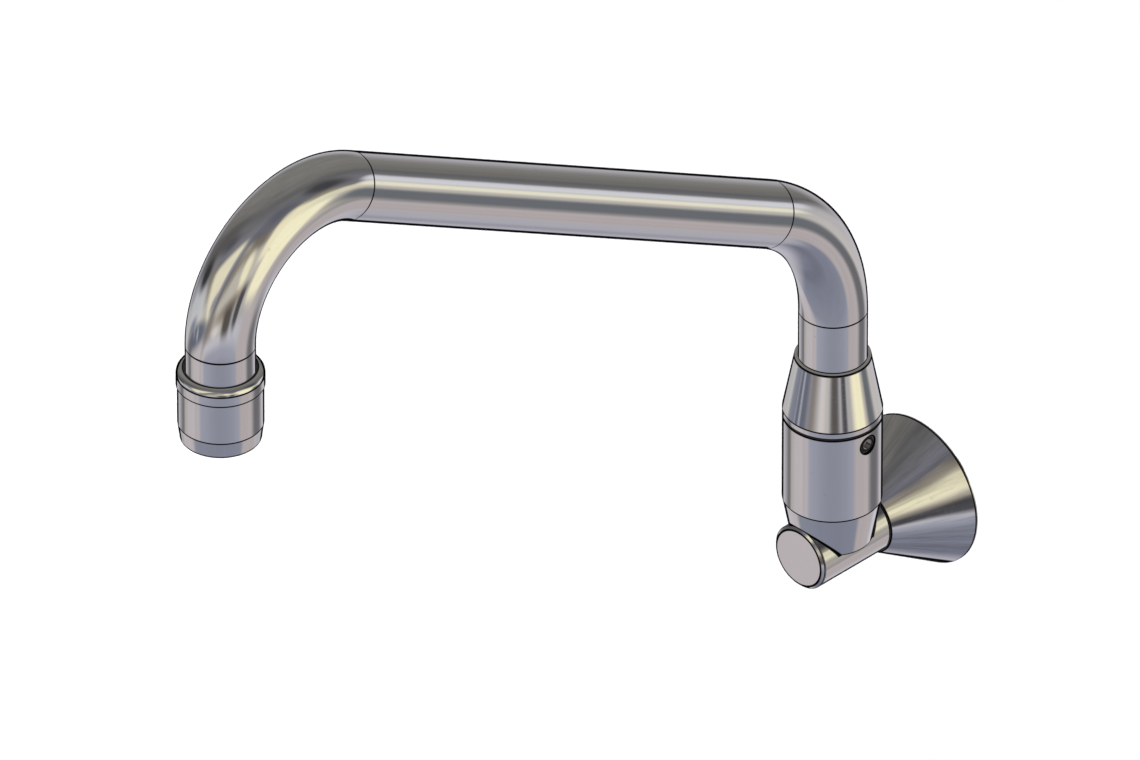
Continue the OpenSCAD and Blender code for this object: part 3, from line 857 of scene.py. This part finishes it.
def spin(name, node, corners, origin, lift, segments=160, thread=None):
    """Turns a rounded outline about the line through origin along lift. A thread is
    (start, end, radius, pitch, depth)."""
    across = RIGHTWARD
    side = lift.cross(across)
    points = rounded_outline(corners)
    if thread:
        points = with_thread(points, thread)
    verts, normals, rows = [], [], []
    for point, normal in points:
        first = len(verts)
        for k in range(segments if point.x > 0 else 1):
            angle = 2 * math.pi * k / segments
            out = across * math.cos(angle) + side * math.sin(angle)
            radius, facing = point.x, out * normal.x + lift * normal.y
            if thread and abs(radius - thread[2]) < ON_THREAD:
                start, end, _, pitch, depth = thread
                fade = min(1.0, max(0.0, min(point.y - start, end - point.y) / pitch + 0.3))

                def cut(height, turned):
                    return fade * thread_depth(height / pitch - turned / (2 * math.pi), depth)

                small = pitch / 24
                swing = small / radius
                rise = (cut(point.y + small, angle) - cut(point.y - small, angle)) / (2 * small)
                lead = (cut(point.y, angle + swing) - cut(point.y, angle - swing)) / (2 * small)
                tangent = side * math.cos(angle) - across * math.sin(angle)
                facing = (out + lift * rise + tangent * lead).normalized()
                radius -= cut(point.y, angle)
            verts.append(origin + out * radius + lift * point.y)
            normals.append(facing)
        rows.append(range(first, len(verts)))
    faces = []
    for row, above in zip(rows, rows[1:] + rows[:1]):
        for i, j in zip(range(segments), [*range(1, segments), 0]):
            corners = (row[i % len(row)], row[j % len(row)],
                       above[j % len(above)], above[i % len(above)])
            face = tuple(dict.fromkeys(corners))
            if len(face) > 2:
                faces.append(face)
    return add_piece(name, node, verts, faces, normals)


# Roundings of edges
CRISP = 0.06 * MM
SOFT = 0.2 * MM


def make_sleeve():
    """Cone sleeve with a plain band at its foot."""
    bottom, top = low("cone_sleeve").z, high("cone_sleeve").z
    bore = TUBE_R + FIT
    spin("cone_sleeve_shell", "cone_sleeve", [
        (bore, bottom, CRISP), (SOCKET_R, bottom, SOFT), (SOCKET_R, bottom + SLEEVE_BAND, SOFT),
        (SLEEVE_TOP_R, top, SOFT), (bore, top, CRISP)], SWIVEL_AXIS, UPRIGHT)


def make_rosette():
    """Hollow cone with a hub around the pipe and a seat for its gasket."""
    front = low("wall_rosette").y
    rim_r = radius_of("wall_rosette")
    slope = (rim_r - ROSETTE_NOSE_R) / (-ROSETTE_RIM - front)
    hub_r = ROSETTE_NOSE_R + slope * ROSETTE_HUB - ROSETTE_SKIN
    seat_r = hub_r + slope * (-GASKET_SEAT - front - ROSETTE_HUB)
    outline = [
        (ROSETTE_NOSE_R, front, 0.15 * MM), (rim_r, -ROSETTE_RIM, SOFT), (rim_r, 0, CRISP),
        (rim_r - ROSETTE_LIP, 0, CRISP), (rim_r - ROSETTE_LIP, -GASKET_SEAT, CRISP),
        (seat_r, -GASKET_SEAT, CRISP), (hub_r, front + ROSETTE_HUB, 0.5 * MM),
        (ROSETTE_BORE_R, front + ROSETTE_HUB, CRISP), (ROSETTE_BORE_R, front, CRISP)]
    spin("rosette_shell", "wall_rosette", outline, Vector(), INTO_WALL, segments=224)


def make_plug():
    """Solid chamfered plug with a stem inside the pipe."""
    front, back = low("end_plug").y, high("end_plug").y
    face_r = TUBE_R - PLUG_CHAMFER
    shoulder = low("inlet_pipe").y
    spin("end_plug_cap", "end_plug", [
        (0, front, 0), (face_r, front, SOFT), (TUBE_R, shoulder, CRISP),
        (PLUG_STEM_R, shoulder, CRISP), (PLUG_STEM_R, back, CRISP), (0, back, 0)],
        Vector(), INTO_WALL)


def make_collar():
    """Collar with a rounded shoulder, a recess for its seal and a threaded neck."""
    bottom, top = low("outlet_collar").z, high("outlet_collar").z
    pitch, depth = FINE_THREAD
    outline = [
        (NECK_BORE_R, bottom, CRISP), (NECK_R, bottom, CRISP), (NECK_R, COLLAR_FOOT, CRISP),
        (COLLAR_R, COLLAR_FOOT, CRISP), (COLLAR_R, top, COLLAR_ROUND - CRISP),
        (COLLAR_RECESS_R - CRISP, top, 0.5 * CRISP),
        (COLLAR_RECESS_R - CRISP, top - COLLAR_RECESS, CRISP),
        (TUBE_R + FIT, top - COLLAR_RECESS, CRISP), (TUBE_R + FIT, TUBE_STOP, CRISP),
        (NECK_BORE_R, TUBE_STOP, CRISP)]
    spin("outlet_collar_shell", "outlet_collar", outline, OUTLET_AXIS, UPRIGHT,
         thread=(bottom, COLLAR_FOOT, NECK_R, pitch, depth))


def make_housing():
    """Aerator housing with a tapered lip."""
    bottom, top = low("aerator_housing").z, high("aerator_housing").z
    neck_foot = low("outlet_collar").z
    outline = [
        (LIP_R, bottom, SOFT), (HOUSING_END_R, bottom, SOFT),
        (radius_of("aerator_housing"), bottom + HOUSING_TAPER, SOFT),
        (radius_of("aerator_housing"), top, CRISP), (NECK_R + FIT, top, SOFT),
        (NECK_R + FIT, neck_foot, CRISP), (CAVITY_R, neck_foot - 1.2 * MM, CRISP),
        (CAVITY_R, bottom + LIP_H, CRISP), (LIP_R, bottom + LIP_H, CRISP)]
    spin("aerator_housing_shell", "aerator_housing", outline, OUTLET_AXIS, UPRIGHT)


def make_nipple():
    """Brass stub with its pipe thread."""
    front, back = low("inlet_nipple").y, high("inlet_nipple").y
    pitch, depth = PIPE_THREAD
    outline = [
        (NIPPLE_BORE_R, front, CRISP), (NIPPLE_BORE_R, back, SOFT),
        (NIPPLE_THREAD_R - NIPPLE_CHAMFER, back, CRISP),
        (NIPPLE_THREAD_R, back - NIPPLE_CHAMFER, CRISP), (NIPPLE_THREAD_R, 0, CRISP),
        (TUBE_R, 0, SOFT), (TUBE_R, -NIPPLE_COLLAR, CRISP),
        (PLUG_STEM_R, -NIPPLE_COLLAR, CRISP), (PLUG_STEM_R, front, CRISP)]
    spin("inlet_nipple_thread", "inlet_nipple", outline[::-1], Vector(), INTO_WALL,
         thread=(0, back - NIPPLE_CHAMFER, NIPPLE_THREAD_R, pitch, depth))


def tube_path():
    """Stations (point, heading, distance) along the tube's centre line, and the distances
    where straights meet bends."""
    stations, seams = [], []
    here = Vector((0, AXIS_Y, low("spout_tube").z))
    lean = 0.0
    travelled = 0.0
    runs = [("straight", RISER_TOP - here.z, None), ("bend", math.pi / 2 - ARM_RISE, LOWER_BEND_R),
            ("straight", ARM_LEN, None), ("bend", math.pi / 2 + ARM_RISE, UPPER_BEND_R)]

    def heading(angle):
        return OUTWARD * math.sin(angle) + UPRIGHT * math.cos(angle)

    def straight(length, pitch=4 * MM):
        nonlocal here, travelled
        count = max(2, round(length / pitch))
        for k in range(count):
            done = length * k / count
            stations.append((here + heading(lean) * done, heading(lean), travelled + done))
        here = here + heading(lean) * length
        travelled += length

    def bend(sweep, radius, pitch=1.6 * MM):
        nonlocal here, travelled, lean
        centre = here + heading(lean + math.pi / 2) * radius
        count = round(radius * sweep / pitch)
        for k in range(count):
            angle = lean + sweep * k / count
            point = centre - heading(angle + math.pi / 2) * radius
            stations.append((point, heading(angle), travelled + radius * sweep * k / count))
        lean += sweep
        here = centre - heading(lean + math.pi / 2) * radius
        travelled += radius * sweep

    for kind, size, radius in runs:
        if kind == "straight":
            straight(size)
        else:
            bend(size, radius)
        seams.append(travelled)
    straight(here.z - TUBE_END)
    stations.append((here, heading(lean), travelled))
    return stations, seams


# Half width and depth of the groove where a bend of the tube meets a straight
GROOVE_HALF = 0.6 * LINE
GROOVE_DEPTH = 0.1 * MM


def make_tube(segments=144):
    """The bent tube, with a hairline groove where each bend meets a straight."""
    stations, seams = tube_path()
    half = GROOVE_HALF
    marks = [seam + offset for seam in seams for offset in (-half, -0.6 * half, 0.6 * half, half)]
    path = []
    for (p0, d0, s0), (p1, d1, s1) in zip(stations, stations[1:]):
        if min(abs(s0 - seam) for seam in seams) > 1e-9:
            path.append((p0, d0, s0))
        for mark in marks:
            if s0 < mark < s1:
                share = (mark - s0) / (s1 - s0)
                path.append((p0.lerp(p1, share), d0.lerp(d1, share).normalized(), mark))
    path.append(stations[-1])
    path.sort(key=lambda station: station[2])
    verts, normals, faces, dark = [], [], [], []

    def lay(wall, grooved):
        rows = []
        for point, heading, s in path:
            near = min(abs(s - seam) for seam in seams)
            cut = GROOVE_DEPTH if grooved and near < 0.8 * half else 0.0
            up = heading.cross(RIGHTWARD)
            ring = []
            for k in range(segments):
                angle = 2 * math.pi * k / segments
                spoke = RIGHTWARD * math.cos(angle) + up * math.sin(angle)
                ring.append(len(verts))
                verts.append(point + spoke * (TUBE_R - wall - cut))
                normals.append(spoke if grooved else -spoke)
            rows.append((ring, near < 1.2 * half))
        return rows

    def join(lower, upper, flip, is_dark):
        for i in range(segments):
            j = (i + 1) % segments
            quad = (lower[i], lower[j], upper[j], upper[i])
            faces.append(quad[::-1] if flip else quad)
            dark.append(is_dark)

    skins = [lay(0.0, True), lay(TUBE_WALL, False)]
    for rows, flip in zip(skins, (False, True)):
        for (lower, near_low), (upper, near_high) in zip(rows, rows[1:]):
            join(lower, upper, flip, near_low and near_high and not flip)
    for end, flip in ((0, True), (-1, False)):
        join(skins[0][end][0], skins[1][end][0], flip, False)
    tube = add_piece("bent_tube", "spout_tube", verts, faces, normals)
    tube.data.materials.append(SEAM)
    tube.data.polygons.foreach_set("material_index", [int(d) for d in dark])


make_sleeve()
make_rosette()
make_plug()
make_collar()
make_housing()
make_nipple()
make_tube()

# ---------------------------------------------------------------- scene

make_world()
make_floor()
make_lamp("key_lamp", (0.9, -1.6, 2.2), 1.8, 55)
make_lamp("fill_lamp", (-1.8, -1.0, 1.6), 1.8, 30)
make_camera()
bpy.context.scene.view_settings.view_transform = "Standard"
